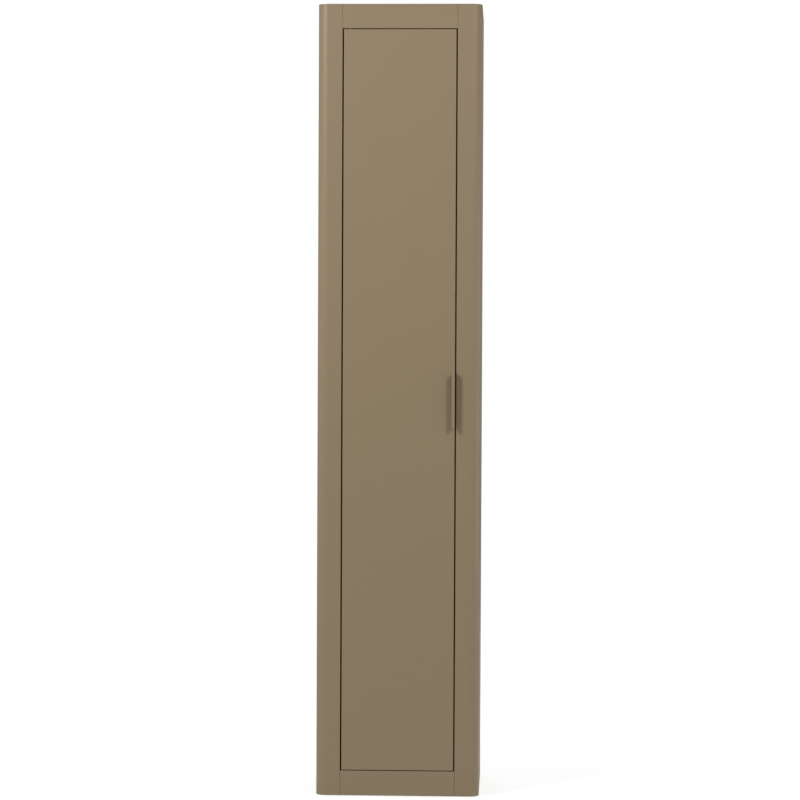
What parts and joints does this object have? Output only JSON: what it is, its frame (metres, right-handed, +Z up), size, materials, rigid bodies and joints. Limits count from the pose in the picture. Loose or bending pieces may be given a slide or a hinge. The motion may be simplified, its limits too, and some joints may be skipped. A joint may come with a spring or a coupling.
{
  "type": "broom cupboard",
  "caption": "Tall narrow cupboard with a painted face frame, rounded front corners, one inset pivot-hinged door, slim edge pull, shelves and pegs for brooms.",
  "frame": {"origin": "middle of the whole footprint, edge pull included, on the floor under the glides", "axes": "+X to the right seen from the front, +Y from the front to the back, +Z up"},
  "size_m": [0.442, 0.42, 2.14],
  "materials": {
    "painted_board": "fibreboard with sprayed matt paint, warm khaki grey",
    "painted_metal": "matt paint like the door",
    "peg_steel": "satin nickel",
    "hinge_steel": "brushed",
    "zinc": "bright zinc plate",
    "beech": "bare beech",
    "plastic": "moulded, dark brown",
    "magnet": "sintered ferrite between steel poles",
    "pad": "soft clear silicone",
    "glide": "white nylon on a steel nail"
  },
  "bodies": {
    "cabinet": {"left_post": "painted_board", "right_post": "painted_board", "top_rail": "painted_board", "bottom_rail": "painted_board", "left_side_panel": "painted_board", "right_side_panel": "painted_board", "top_panel": "painted_board", "bottom_panel": "painted_board", "back_panel": "painted_board", "hanging_rail": "painted_board", "peg_rail": "painted_board", "plinth_rail": "painted_board", "fixed_shelf": "painted_board", "adjustable_shelf": "painted_board", "stop_strip": "painted_board", "broom_peg_1": "peg_steel", "broom_peg_2": "peg_steel", "broom_peg_3": "peg_steel", "lower_frame_leaf": "hinge_steel", "upper_frame_leaf": "hinge_steel", "frame_leaf_screws": "zinc", "stop_screws": "zinc", "catch_screws": "zinc", "back_screws": "zinc", "shelf_supports": "zinc", "cam_bolts": "zinc", "cam_discs": "zinc", "frame_dowels": "beech", "carcass_dowels": "beech", "lower_catch": "plastic", "upper_catch": "plastic", "thrust_washer": "plastic", "catch_magnets": "magnet", "stop_pads": "pad", "floor_glides": "glide"},
    "door": {"door_panel": "painted_board", "edge_pull": "painted_metal", "pull_screws": "zinc", "lower_door_leaf": "hinge_steel", "upper_door_leaf": "hinge_steel", "door_leaf_screws": "zinc", "lower_strike": "zinc", "upper_strike": "zinc", "strike_screws": "zinc"}
  },
  "joints": [
    {"name": "door_hinge", "type": "hinge", "parent": "cabinet", "child": "door", "pos_m": [-0.1355, -0.1825, 0.069], "axis": [0, 0, -1], "range_deg": [0, 130]}
  ]
}
